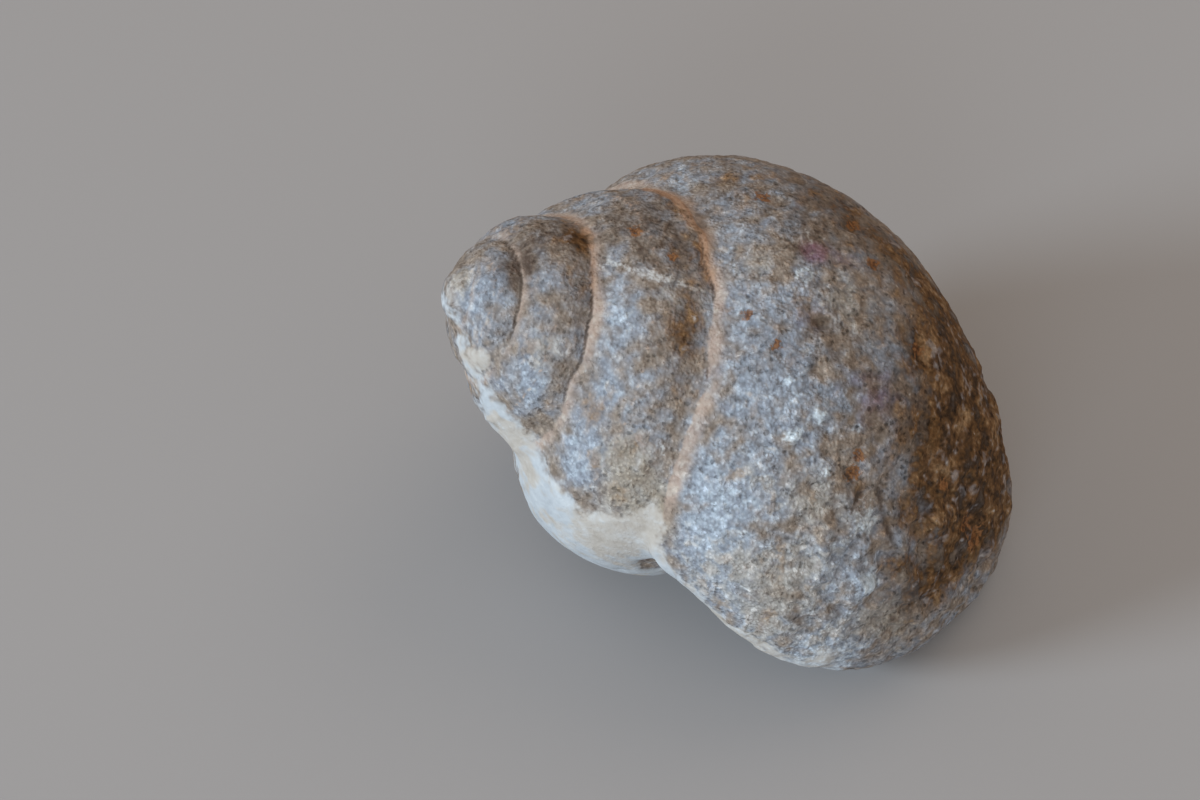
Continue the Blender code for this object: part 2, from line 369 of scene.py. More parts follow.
def bell(away, width):
    """Return 1 at no distance, falling to almost nothing past twice the width."""
    return np.exp(-(away / width) ** 2)


def swelling(turn, angle):
    """Return the section's local scale at a turn and at an angle round it."""
    scale = 1.0
    for centre_turn, centre_angle, turns, degrees, height in SWELLINGS:
        away = (math.degrees(angle) - centre_angle + 180.0) % 360.0 - 180.0
        scale += height * math.exp(-((turn - centre_turn) / turns) ** 2 - (away / degrees) ** 2)
    return scale


def end_scale(turn, angle):
    """Return the section's scale where the tube closes, at the blunt apex and round the lip."""
    from_apex = min((turn + TURNS) / APEX_ROUND, 1.0)
    inner = (1.0 + math.cos(angle - LIP_INNER_ANGLE)) / 2.0
    edge = LIP_EDGE + (LIP_INNER_EDGE - LIP_EDGE) * inner ** 2
    past_edge = max(turn - (LIP_LENGTH - edge), 0.0) / edge
    apex = math.sqrt(max(1.0 - (1.0 - from_apex) ** 2, 0.0))
    lip = LIP_MOUTH + (1.0 - LIP_MOUTH) * math.sqrt(max(1.0 - past_edge ** 2, 0.0))
    return apex * lip


def coil_point(turn, angle):
    """Return a point of the tube in millimetres, with the coiling axis along +Z."""
    size = GROWTH_PER_TURN ** turn
    free = float(smooth_step(1.0 + turn / FREE_TURNS))
    radius = COIL_RADIUS * size ** COIL_RADIUS_POWER + FREE_RADIUS * free
    drop = COIL_DROP * size ** COIL_DROP_POWER + FREE_DROP * free
    scale = size * swelling(turn, angle) * end_scale(turn, angle)
    across = SECTION_HALF_WIDTH * (1.0 + FREE_WIDTH * free) * scale * math.cos(angle)
    along = SECTION_HALF_HEIGHT * (1.0 + FREE_HEIGHT * free) * scale * math.sin(angle)
    reach = radius + across * math.cos(SECTION_LEAN) + along * math.sin(SECTION_LEAN)
    reach = (reach + math.hypot(reach, AXIS_BEND * size)) / 2.0 - AXIS_OVERLAP * size
    height = along * math.cos(SECTION_LEAN) - across * math.sin(SECTION_LEAN) - drop
    bearing = LIP_BEARING - math.tau * turn
    return Vector((reach * math.cos(bearing), reach * math.sin(bearing), height))


def resting_frame():
    """Return the turn that brings the coiling axis from +Z to the way the stone lies."""
    level = math.cos(AXIS_RISE)
    axis = Vector((
        -level * math.cos(AXIS_SWING), -level * math.sin(AXIS_SWING), math.sin(AXIS_RISE)))
    first = axis.cross(Vector((0.0, 0.0, 1.0))).normalized()
    second = axis.cross(first)
    return Matrix((first, second, axis)).transposed().to_4x4()


def swept_tube():
    """Bend a flat grid into the coiled tube, in millimetres, and note each point's turn."""
    bm = bmesh.new()
    turn_of = bm.verts.layers.float.new("turn")
    rings = round((TURNS + LIP_LENGTH) * RINGS_PER_TURN)
    bmesh.ops.create_grid(bm, x_segments=rings, y_segments=SECTION_SIDES, size=0.5)
    for vert in bm.verts:
        turn = (vert.co.x + 0.5) * (TURNS + LIP_LENGTH) - TURNS
        vert[turn_of] = turn
        vert.co = coil_point(turn, math.tau * vert.co.y)
    bmesh.ops.remove_doubles(bm, verts=bm.verts, dist=0.001)
    bmesh.ops.holes_fill(bm, edges=bm.edges, sides=0)
    apex = Matrix.Translation((0.0, 0.0, coil_point(-TURNS, 0.0).z))
    round_off = Matrix.Diagonal((APEX_HALF_WIDTH, APEX_HALF_WIDTH, APEX_HALF_HEIGHT, 1.0))
    dome = bmesh.ops.create_uvsphere(
        bm, u_segments=APEX_SEGMENTS, v_segments=APEX_SEGMENTS // 2, radius=1.0,
        matrix=apex @ round_off)
    for vert in dome["verts"]:
        vert[turn_of] = -TURNS
    bmesh.ops.recalc_face_normals(bm, faces=bm.faces)
    bmesh.ops.transform(bm, matrix=resting_frame(), verts=bm.verts)
    return bm


def fused_skin(bm, cell, passes):
    """Fuse the overlapping whorls into one even skin and soften it. Return its object."""
    mesh = bpy.data.meshes.new(PIECE)
    bm.to_mesh(mesh)
    stone = bpy.data.objects.new(PIECE, mesh)
    bpy.context.scene.collection.objects.link(stone)
    fuse = stone.modifiers.new("fuse", "REMESH")
    fuse.mode = "VOXEL"
    fuse.voxel_size = cell
    wear = stone.modifiers.new("wear", "SMOOTH")
    wear.iterations = passes
    graph = bpy.context.evaluated_depsgraph_get()
    skin = bpy.data.meshes.new_from_object(stone.evaluated_get(graph))
    stone.modifiers.clear()
    stone.data = skin
    bpy.data.meshes.remove(mesh)
    skin.name = PIECE
    return stone


def settle(mesh):
    """Move the skin to where the solid lies: middle to middle, and top to top."""
    low, high = (np.array(corner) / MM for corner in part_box(NODE))
    places = rows(mesh.vertices, "co")
    shift = (low + high) / 2.0 - (places.min(0) + places.max(0)) / 2.0
    shift[2] = high[2] - places[:, 2].max()
    mesh.transform(Matrix.Translation(shift))
    return Vector(shift)


def rows(items, name, width=3, kind=float):
    """Return a property of a mesh's points, normals or edges, one row for each."""
    values = np.empty(len(items) * width, kind)
    items.foreach_get(name, values)
    return values.reshape(-1, width)


def write_places(mesh, places):
    """Move a mesh's points."""
    mesh.vertices.foreach_set("co", places.ravel())
    mesh.update()


def tree_of(points):
    """Return a search tree over points."""
    tree = KDTree(len(points))
    for index, point in enumerate(points):
        tree.insert(point, index)
    tree.balance()
    return tree


def turns_on_skin(bm, shift, places):
    """Return the turn of the coil at each point of the skin."""
    turn_of = bm.verts.layers.float["turn"]
    turns = np.array([vert[turn_of] for vert in bm.verts])
    tree = tree_of([vert.co + shift for vert in bm.verts])
    return turns[[tree.find(place)[1] for place in places]]


def suture_distance(ends, places, turns):
    """Return how far each point is from a suture, positive towards the lip, and the turn there."""
    seam = ends[np.ptp(turns[ends], axis=1) > SEAM_TURNS]
    points = places[seam].mean(axis=1)
    before, after = turns[seam].min(axis=1), turns[seam].max(axis=1)
    tree = tree_of(points)
    eased = np.array([
        np.mean([points[near[1]] for near in tree.find_range(point, SEAM_REACH)], axis=0)
        for point in points])
    tree = tree_of(eased)
    found = [tree.find(place) for place in places]
    nearest = np.array([item[1] for item in found])
    distance = np.array([item[2] for item in found])
    towards_lip = np.abs(turns - after[nearest]) < np.abs(turns - before[nearest])
    distance = np.where(towards_lip, distance, -distance)
    return softened(ends, distance, SEAM_PASSES), after[nearest]


# ---------------------------------------------------------------- relief


def softened(ends, values, passes):
    """Average values with their neighbours over the skin."""
    first, second = ends[:, 0], ends[:, 1]
    share = np.bincount(ends.ravel(), minlength=len(values))
    for _ in range(passes):
        around = np.bincount(first, values[second], len(values))
        around += np.bincount(second, values[first], len(values))
        values = (values + around / share) / 2.0
    return values


def field(places, name):
    """Return a named field of smooth noise over the points, between about -1 and 1."""
    number, size, octaves = NOISE_FIELDS[name]
    step = Vector((number * FIELD_STEP, number * FIELD_STEP / 2.0, -number * FIELD_STEP))
    spots = [Vector(place) / size + step for place in places]
    if octaves == 1:
        return np.array([noise.noise(spot) for spot in spots])
    return np.array([noise.fractal(spot, 1.0, 2.0, octaves) for spot in spots])


def patches(places, table):
    """Return how strongly the patches of a table cover each point."""
    total = np.zeros(len(places))
    for x, y, z, radius, strength in table:
        away = ((places - (x, y, z)) ** 2).sum(1)
        total += strength * np.exp(-away / radius ** 2)
    return total


def strokes(places, table, sway):
    """Yield how strongly each line of a table marks each point, and its height or depth."""
    for start, end, half_width, height in table:
        start, end = np.array(start), np.array(end)
        share = ((places - start) @ (end - start)) / ((end - start) ** 2).sum()
        foot = start + np.clip(share, 0.0, 1.0)[:, None] * (end - start)
        yield bell(np.linalg.norm(places - foot, axis=1) + sway, half_width), height


def eased_valleys(ends, places, suture, size):
    """Return the points with the valleys along the sutures rounded."""
    eased = np.stack([softened(ends, column, VALLEY_PASSES) for column in places.T], axis=1)
    share = VALLEY_EASE * bell(suture, VALLEY_WIDTH * size ** VALLEY_POWER)
    return places + share[:, None] * (eased - places)


def sediment_band(places, suture, size, ragged):
    """Return the width of the sediment along the sutures, and how well it covers each point."""
    width = BAND_WIDTH * size ** BAND_POWER * (1.0 + 0.35 * field(places, "band width"))
    width += 0.35 * ragged
    cover = ramp(suture - width, 0.9, -1.3) * ramp(suture + 0.2 * ragged, -0.25, 0.1)
    cover *= 1.0 - patches(places, BAND_GAPS).clip(0.0, 1.0)
    return width, cover * (0.85 + 0.5 * field(places, "band cover"))


def worn_relief(places, calm, coarse, shape):
    """Return the height of the waves, hollows, lumps and grain, and the grain alone."""
    across, up = places[:, 0], places[:, 2]
    height = shape.undulation * (field(places, "waves") + 0.45 * field(places, "small waves"))
    height -= patches(places, HOLLOWS)
    lumpy = ramp(up, *LUMPS_DOWN) * ramp(across, *LUMPS_ACROSS)
    lumpy = np.maximum(lumpy, ramp(up, *LUMPS_UNDER))
    upright = places * (1.0, 1.0, 0.5)
    lumps = field(upright, "lumps") - np.sqrt(field(upright, "lump gaps") ** 2 + 0.02)
    height += calm * lumpy * shape.lumps * lumps
    pocks = shape.pocking * (0.5 + 0.7 * coarse) * np.minimum(field(places, "pocks"), 0.35)
    height += calm * pocks
    grain = field(places, "grain") + 0.7 * field(places, "fine grain")
    height += (0.25 + 0.75 * calm) * shape.grain * grain
    return height, grain


def pit_depths(tree, places, count):
    """Return the depth at each point of pits strewn over the stone."""
    draw = random.Random(PIT_SEED)
    pits = np.zeros(len(places))
    for _ in range(count):
        middle = places[draw.randrange(len(places))]
        radius = PIT_RADIUS + PIT_RADIUS_SPREAD * draw.random() ** 3
        depth = radius * (PIT_DEPTH + PIT_DEPTH_SPREAD * draw.random())
        for _, near, away in tree.find_range(middle, 2.0 * radius):
            pits[near] = max(pits[near], depth * math.exp(-(away / radius) ** 4))
    return pits


def iron_cover(tree, pits):
    """Return how much iron covers each point, and deepen the pits that it sits in."""
    iron = np.zeros(len(pits))
    for x, y, z, radius, depth in IRON_SPOTS:
        for _, near, away in tree.find_range((x, y, z), 3.5 * radius):
            dip = math.exp(-(away / radius) ** 2)
            pits[near] = max(pits[near], depth * dip)
            iron[near] = max(iron[near], dip)
    return iron


def wear_facets(carved):
    """Wear the stone down where it stands past a facet."""
    for point, facing in FACETS:
        facing = np.array(facing) / np.linalg.norm(facing)
        over = (carved - point) @ facing
        worn = np.where(over > 0.0, (FACET_LEFT - 1.0) * over, 0.0)
        carved += worn[:, None] * facing


def carve(mesh, ends, turns, suture, suture_turn, shape):
    """Carve the stone's relief and return the fields that its material reads."""
    size = GROWTH_PER_TURN ** suture_turn
    places = eased_valleys(ends, rows(mesh.vertices, "co"), suture, size)
    write_places(mesh, places)
    normals = rows(mesh.vertex_normals, "vector")
    tree = tree_of(places)

    suture = suture - patches(places, LINE_SHIFTS) * ramp(np.abs(suture), *SHIFTED)
    ragged = field(places, "ragged")
    band_width, band = sediment_band(places, suture, size, ragged)
    chalk = patches(places, CHALK_CRUST) + 0.22 * field(places, "chalk")
    crust = ramp(chalk, 0.5, 0.85)
    # The relief is calmer on crust, on sediment and at the lip. The grain is coarser in front.
    calm = 1.0 - 0.75 * np.maximum(crust, smooth_step(band * 1.5 - 0.5))
    calm *= 1.0 - 0.6 * ramp(turns, *LIP_CALM)
    coarse = ramp(places[:, 0], *COARSE_ACROSS)
    coarse *= 1.0 - 0.85 * ramp(places[:, 0] + places[:, 1], *FINE_BEHIND)

    height, grain = worn_relief(places, calm, coarse, shape)
    pits = pit_depths(tree, places, shape.pits)
    iron = iron_cover(tree, pits)
    height -= pits * (0.4 + 0.6 * calm)

    # What fills and lines the sutures. The groove's mask also sets where shade is painted dark.
    drawn = 0.25 + patches(places, SUTURE_LINES) + 0.3 * field(places, "suture line")
    groove = drawn.clip(0.0, 1.0) * bell(suture + 0.1, 0.24)
    height -= shape.groove * groove
    height += LEDGE_HEIGHT * size * bell(suture - 0.5 * band_width, 0.5 * band_width + 0.3)
    height += CRUST_HEIGHT * crust
    height += patches(places, NOTCH_FILLS) * bell(suture, NOTCH_WIDTH)

    # What stands on the stone or is cut into it.
    vein = np.zeros(len(places))
    for line, rise in strokes(places, VEINS, 0.25 * ragged):
        vein = np.maximum(vein, line)
        height += rise * line
    for line, rise in strokes(places, RIDGES, 0.9 * ragged):
        height += rise * line
    # The cracks join the groove's mask, so shade is painted into them too.
    for line, depth in strokes(places, CRACKS, 0.3 * ragged):
        groove = np.maximum(groove, line)
        height -= depth * line
    pale = patches(places, PALE_BLOBS)
    height += BLOB_HEIGHT * pale
    for x, y, z, radius in SHELL_RINGS:
        ring = bell(np.linalg.norm(places - (x, y, z), axis=1) - radius, RING_HALF_WIDTH)
        pale += 0.9 * ring
        height += RING_HEIGHT * ring

    lines = patches(places, RUST_LINES)
    rust = patches(places, RUST_STAINS).clip(0.0, 1.15) + 0.2 * lines * bell(suture + 1.0, 1.5)
    chips = ramp(turns, *LIP_CHIPPED) * np.minimum(field(places, "lip chips"), 0.0)
    height += 0.5 * shape.lumps * chips
    chalk += 0.8 * ramp(turns, *LIP_CHALKY) * (0.85 + 0.7 * field(places, "lip chalk"))

    carved = places + normals * softened(ends, height, 1)[:, None]
    wear_facets(carved)
    write_places(mesh, carved)
    return {
        "band": band, "groove": groove, "chalk": chalk, "rust": rust,
        "orange": lines * bell(suture - 0.1, 0.6),
        "dark": patches(places, DARK_BODY), "patina": patches(places, BLUE_PATINA),
        "silt": patches(places, TAN_SILT), "violet": patches(places, VIOLET_TINTS),
        "pale": pale, "iron": iron, "vein": vein, "pit": pits, "grain": grain, "coarse": coarse,
    }


def lay_down(mesh):
    """Cut the skin's resting flats at z = 0 and turn millimetres into metres."""
    bm = bmesh.new()
    bm.from_mesh(mesh)
    bmesh.ops.bisect_plane(
        bm, geom=bm.verts[:] + bm.edges[:] + bm.faces[:], dist=0.01,
        plane_co=(0.0, 0.0, 0.0), plane_no=(0.0, 0.0, -1.0), clear_outer=True)
    flats = bmesh.ops.holes_fill(bm, edges=bm.edges, sides=0)
    bmesh.ops.triangulate(bm, faces=flats["faces"])
    bmesh.ops.scale(bm, vec=(MM, MM, MM), verts=bm.verts)
    bm.to_mesh(mesh)
    bm.free()


# ---------------------------------------------------------------- material


class Value:
    """A shader value that takes part in sums: each sum adds its Math node."""

    def __init__(self, graph, socket):
        self.graph = graph
        self.socket = socket

    def math(self, operation, *others):
        """Return the result of a Math node on this value and others."""
        settings = {"operation": operation}
        return self.graph.node("ShaderNodeMath", settings, dict(enumerate((self,) + others)))

    def __add__(self, other):
        return self.math("ADD", other)

    def __sub__(self, other):
        return self.math("SUBTRACT", other)

    def __rsub__(self, other):
        return (self * -1.0) + other

    def __mul__(self, other):
        return self.math("MULTIPLY", other)

    __radd__ = __add__
    __rmul__ = __mul__

    def between(self, low, high):
        """Ease this value from 0 at low to 1 at high."""
        settings = {"interpolation_type": "SMOOTHSTEP"}
        sockets = {"Value": self, "From Min": low, "From Max": high}
        return self.graph.node("ShaderNodeMapRange", settings, sockets)


class Graph:
    """The nodes of one material."""

    def __init__(self, name):
        self.material = bpy.data.materials.new(name)
        self.material.use_nodes = True
        self.tree = self.material.node_tree
        self.tree.nodes.clear()

    def node(self, kind, settings, sockets, output=0):
        """Add a node: its settings are set first, then its sockets. Return one of its outputs."""
        node = self.tree.nodes.new(kind)
        for name, setting in settings.items():
            setattr(node, name, setting)
        for name, value in sockets.items():
            if isinstance(value, Value):
                self.tree.links.new(value.socket, node.inputs[name])
            else:
                node.inputs[name].default_value = value
        return Value(self, node.outputs[output]) if node.outputs else node

    def attribute(self, name):
        """Return a field kept on the piece's points."""
        return self.node("ShaderNodeAttribute", {"attribute_name": name}, {}, "Fac")

    def noise(self, vector, size, detail=1.0, roughness=0.5):
        """Return noise of a grain size in millimetres."""
        sockets = {"Vector": vector, "Scale": 1.0 / size, "Detail": detail, "Roughness": roughness}
        return self.node("ShaderNodeTexNoise", {}, sockets, "Fac")

    def cells(self, vector, size):
        """Return a random value for each cell of a size, and how far its middle is."""
        sockets = {"Vector": vector, "Scale": 1.0 / size}
        colour = self.node("ShaderNodeTexVoronoi", {}, sockets, "Color")
        away = Value(self, colour.socket.node.outputs["Distance"])
        return self.node("ShaderNodeSeparateColor", {}, {0: colour}, "Red"), away

    def spots(self, vector, size, share, fray):
        """Return spots with frayed edges in a share of the cells of a size."""
        chosen, away = self.cells(vector, size)
        return chosen.between(0.92 - share, 1.08 - share) * (away + fray).between(0.62, 0.2)

    def grains(self, vector, size):
        """Return how far into its grain a point is, for packed round grains of a size."""
        sockets = {"Vector": vector, "Scale": 1.0 / size}
        return 0.6 - self.node("ShaderNodeTexVoronoi", {}, sockets, "Distance")

    def mix(self, share, first, second):
        """Mix two colours."""
        settings = {"data_type": "RGBA"}
        return self.node("ShaderNodeMix", settings, {0: share, 6: first, 7: second}, 2)

    def tones(self, light, dark, middle, pale):
        """Run from dark through middle to pale as the light goes from 0 to 1."""
        low = self.mix(light.between(-0.05, 0.55), dark, middle)
        return self.mix(light.between(0.45, 1.05), low, pale)

    def vector(self, operation, *vectors, **sockets):
        """Return the result of a Vector Math node."""
        sockets.update(enumerate(vectors))
        return self.node("ShaderNodeVectorMath", {"operation": operation}, sockets)

    def finished(self, sockets):
        """Feed the shader's sockets and return the material."""
        shader = self.node("ShaderNodeBsdfPrincipled", {}, sockets)
        self.node("ShaderNodeOutputMaterial", {}, {"Surface": shader})
        return self.material


class Limestone(Graph):
    """The nodes of the worn limestone: its noise, its layers of colour, its grain and sheen."""

    def __init__(self, colours, fields):
        super().__init__("limestone_stone")
        place = self.node("ShaderNodeTexCoord", {}, {}, "Object")
        place = self.vector("SCALE", place, Scale=1.0 / MM)
        swirl = self.node("ShaderNodeTexNoise", {}, {"Vector": place, "Scale": 1.1}, "Color")
        self.bent = self.vector("MULTIPLY_ADD", swirl, (0.3, 0.3, 0.3), place)
        stretched = self.vector("MULTIPLY", place, (1.0, 0.6, 0.45))
        self.colours = colours
        self.on = on = SimpleNamespace(**{name: self.attribute(name) for name in fields})
        self.noises = {
            "broad": self.noise(place, 9.0, 2.0) - 0.5,
            "blotch": self.noise(place, 3.8) - 0.5,
            "dab": self.noise(self.bent, 2.0) - 0.5,
            "streak": self.noise(stretched, 1.8, 2.0) - 0.5,
            "speck": self.noise(place, 0.85) - 0.5,
            "crumb": self.noise(place, 0.38) - 0.5,
            "grit": self.noise(place, 0.2) - 0.5,
            "large_grain": self.cells(place, 0.8)[0] - 0.5,
            "sand": self.grains(place, 0.42),
            "gravel": self.grains(place, 0.9),
        }
        fray = self.mottled(0.0, crumb=0.9, grit=0.6)
        self.noises["pale_grains"] = self.spots(place, 0.8, 0.22, fray)
        self.noises["fine_grains"] = self.spots(place, 0.42, 0.35, fray)
        self.noises["dark_grains"] = self.spots(place, 0.55, 0.3, fray)
        self.light = self.mottled(
            on.patina * 0.12 - on.dark * 0.20 + 0.49,
            speck=0.75, dab=0.2, blotch=0.25, broad=0.25, large_grain=0.08)
        self.crumbs = self.mottled(
            on.grain * 0.05 - 0.07, crumb=0.45, grit=0.1, large_grain=0.1, fine_grains=0.25,
            pale_grains=on.patina * 0.1 + 0.35, dark_grains=on.patina * 0.15 - 0.4,
            sand=0.44, gravel=0.35)
        self.crust = self.mottled(on.chalk, dab=0.6, blotch=0.5, speck=0.6).between(0.25, 0.8)

    def mottled(self, value, **shares):
        """Add shares of the named noises to a value."""
        for name, share in shares.items():
            value = self.noises[name] * share + value
        return value

    def bare_stone(self):
        """Return the stone itself, cool in some places and warm in others."""
        colours, on = self.colours, self.on
        cast = self.mottled(0.0, blotch=1.0, dab=1.3, speck=0.3, broad=0.8)
        cast = cast * (on.coarse * 0.35 + 0.75) + on.patina * 0.30 - on.dark * 0.06
        cool_stone = self.tones(self.light, colours.slate, colours.grey, colours.bluish)
        warm_stone = self.tones(self.light, colours.umber, colours.brown, colours.sand)
        return self.mix(cast.between(-0.28, 0.36), warm_stone, cool_stone)

    def stains(self, body):
        """Lay the violet tint, the silt and the rust over the stone, and the pale patches."""
        colours, on = self.colours, self.on
        violet = self.mottled(on.violet, dab=1.0)
        body = self.mix(violet.between(0.1, 1.0) * 0.65, body, colours.violet)
        silty = self.mottled(on.silt, blotch=1.2, dab=1.3, speck=0.9)
        silt_stone = self.tones(self.light, colours.brown, colours.silt, colours.sediment_pale)
        body = self.mix(silty.between(0.25, 0.9) * 0.6, body, silt_stone)
        rust_light = self.mottled(
            on.dark * -0.15 + 0.44, speck=1.6, streak=2.3, blotch=1.2, broad=0.6)
        rust_stone = self.tones(rust_light, colours.deep_rust, colours.rust, colours.pale_rust)
        bare = self.mottled(0.0, dab=1.0, speck=0.8, blotch=0.5)
        rust_stone = self.mix(bare.between(0.10, 0.35) * 0.45, rust_stone, colours.grey)
        stain = self.mottled(on.rust, blotch=1.4, streak=1.8, broad=0.9, speck=1.0, dab=0.6)
        body = self.mix(stain.between(0.05, 1.05) * 0.95, body, rust_stone)
        pale = self.mottled(on.pale, speck=1.0, crumb=0.6)
        return self.mix(pale.between(0.25, 0.85) * 0.7, body, colours.fleck)

    def grained(self, body):
        """Make each grain of the stone paler or darker."""
        gain = self.crumbs * (self.on.coarse * 0.25 + 0.80) + 1.04
        return self.vector("SCALE", body, Scale=gain)

    def sediment(self, body):
        """Lay the pinkish sediment along the sutures, and their orange line."""
        colours, on, light = self.colours, self.on, self.light
        tint = self.mottled(on.rust * 0.7, blotch=1.0, dab=1.0)
        sediment = self.mix(tint.between(0.2, 0.9) * 0.7, colours.sediment, colours.ochre)
        sediment = self.mix(light.between(0.35, 0.85), sediment, colours.sediment_pale)
        sediment = self.mix(light.between(0.5, 0.1) * 0.5, sediment, colours.brown)
        sediment = self.vector("SCALE", sediment, Scale=self.crumbs * 0.28 + 1.0)
        edge = self.mottled(on.band, speck=0.3, dab=0.3, blotch=0.4)
        body = self.mix(edge.between(0.05, 0.9) * 0.85, body, sediment)
        orange = self.mottled(on.orange, speck=0.9, dab=0.9, blotch=0.6)
        orange_stone = self.mix(light.between(0.5, 0.15), colours.orange, colours.rust)
        return self.mix(orange.between(0.2, 1.5) * 0.75, body, orange_stone)

    def chalk(self, body):
        """Lay the chalky crust, cream in places, over the stone. On the spire's underside it is
        also painted light.
        """
        colours, on = self.colours, self.on
        light = self.mottled(
            self.crumbs * (on.coarse * 0.45 + 0.1) + 0.55, speck=0.4, dab=0.5, blotch=0.5)
        white = self.tones(light, colours.grey, colours.chalk, colours.chalk_white)
        cream = self.tones(light, colours.silt, colours.cream, colours.chalk_white)
        creamy = on.silt * 0.8 + self.noise(self.bent, 3.0, 2.0, 0.6)
        chalky = self.mix(creamy.between(0.48, 0.68) * 0.8, white, cream)
        return self.mix(self.crust * 0.94, body, chalky)

    def marks(self, body):
        """Lay the veins, painted shade on the pits' floors, the iron spots, and the sutures' dark
        lines, which are painted shade in their grooves and in the cracks.
        """
        colours, on = self.colours, self.on
        vein = self.mottled(on.vein, speck=1.8, crumb=1.2)
        body = self.mix(vein.between(0.4, 1.15) * 0.6, body, colours.calcite)
        # Painted shade: the floors of the pits are darkened.
        body = self.mix(on.pit.between(0.1, 0.6) * 0.35, body, colours.pit)
        iron = self.mottled(on.iron, speck=2.4, crumb=1.4)
        share = iron.between(0.2, 0.7) * on.iron.between(0.05, 0.35) * 0.9
        bright = self.mottled(0.0, speck=1.0, crumb=1.0).between(-0.15, 0.2)
        body = self.mix(share, body, self.mix(bright, colours.iron, colours.ochre))
        # Painted shade: the grooves of the sutures and the cracks are darkened.
        seam = self.mottled(on.groove, speck=0.8)
        return self.mix(seam.between(0.25, 0.9) * 0.8, body, colours.groove)

    def normal(self):
        """Return the finest relief, which is calm on the crust and on the sediment."""
        relief = self.mottled(
            0.0, crumb=0.3, speck=0.6, large_grain=0.08, sand=0.4, gravel=0.5,
            pale_grains=0.25, fine_grains=0.15, dark_grains=-0.25)
        calm = 1.0 - self.crust * 0.7 - self.on.band * 0.3
        sockets = {"Strength": 1.0, "Distance": GRAIN_BUMP, "Height": relief * calm}
        return self.node("ShaderNodeBump", {}, sockets)

    def roughness(self):
        """Return the stone's roughness, which is less on calcite and on pale grains."""
        return 0.94 - self.on.vein * 0.2 - self.light.between(0.7, 1.1) * 0.12


def limestone(colours, fields):
    """Return the material of the worn limestone, which reads the fields on its points."""
    stone = Limestone(colours, fields)
    body = stone.bare_stone()
    for layer in (stone.stains, stone.grained, stone.sediment, stone.chalk, stone.marks):
        body = layer(body)
    return stone.finished({
        "Base Color": body, "Roughness": stone.roughness(), "Normal": stone.normal(),
        "Specular IOR Level": 0.15})


def plain(name, colour, roughness):
    """Return a plain material of one colour."""
    return Graph(name).finished({
        "Base Color": colour, "Roughness": roughness, "Specular IOR Level": 0.2})


# ---------------------------------------------------------------- settings


def colour_setting(name, description, value):
    """Return a colour property, with full alpha."""
    return FloatVectorProperty(
        name=name, description=description, subtype="COLOR", size=4, min=0.0, max=1.0,
        default=(*value, 1.0))


class MouldShape(bpy.types.PropertyGroup):
    """Sizes of the stone's relief, in millimetres."""

    cell: FloatProperty(
        name="Skin cell", description="Fineness of the fused skin", default=0.395, min=0.2)
    wear: IntProperty(name="Wear", description="Passes that soften the fused skin", default=6)
    undulation: FloatProperty(
        name="Undulation", description="Height of the broad waves", default=0.22)
    lumps: FloatProperty(name="Lumps", description="Height of the lumps low down", default=0.6)
    pocking: FloatProperty(
        name="Pocking", description="Depth of the shallow hollows", default=0.42)
    grain: FloatProperty(name="Grain", description="Height of the sand grains", default=0.055)
    groove: FloatProperty(name="Groove", description="Depth of the sutures", default=0.28)
    pits: IntProperty(name="Pits", description="Number of pits", default=420, min=0)


class StoneColours(bpy.types.PropertyGroup):
    """Colours of the limestone and of what has settled on it."""

    slate: colour_setting("Slate", "Darkest cool stone", (0.073, 0.080, 0.095))
    grey: colour_setting("Grey", "Cool stone", (0.204, 0.224, 0.264))
    bluish: colour_setting("Bluish", "Palest cool stone", (0.465, 0.535, 0.615))
    umber: colour_setting("Umber", "Darkest warm stone", (0.086, 0.062, 0.050))
    brown: colour_setting("Brown", "Warm stone", (0.228, 0.185, 0.152))
    sand: colour_setting("Sand", "Palest warm stone", (0.430, 0.358, 0.296))
    fleck: colour_setting("Fleck", "Pale grains", (0.500, 0.560, 0.610))
    violet: colour_setting("Violet", "Purple stain", (0.165, 0.078, 0.115))
    silt: colour_setting("Silt", "Tan silt", (0.305, 0.260, 0.200))
    rust: colour_setting("Rust", "Rust", (0.110, 0.054, 0.019))
    deep_rust: colour_setting("Deep rust", "Darkest rust", (0.035, 0.017, 0.006))
    pale_rust: colour_setting("Pale rust", "Palest rust", (0.225, 0.138, 0.070))
    sediment: colour_setting("Sediment", "Pinkish sediment", (0.380, 0.285, 0.235))
    sediment_pale: colour_setting("Pale sediment", "Paler sediment", (0.430, 0.370, 0.320))
    chalk: colour_setting("Chalk", "Chalky crust", (0.410, 0.440, 0.475))
    chalk_white: colour_setting("White chalk", "Palest crust", (0.520, 0.545, 0.570))
    cream: colour_setting("Cream", "Cream crust", (0.420, 0.370, 0.320))
    calcite: colour_setting("Calcite", "Veins", (0.520, 0.520, 0.520))
    # Painted shade on the floors of the pits.
    pit: colour_setting("Pit", "Floors of the pits", (0.085, 0.062, 0.045))
    iron: colour_setting("Iron", "Dark iron", (0.090, 0.036, 0.014))
    orange: colour_setting("Orange", "Line of the sutures", (0.350, 0.205, 0.125))
    ochre: colour_setting("Ochre", "Bright iron", (0.230, 0.105, 0.042))
    # Painted shade at the bottom of the sutures and the cracks.
    groove: colour_setting("Groove", "Bottom of the sutures", (0.060, 0.042, 0.032))


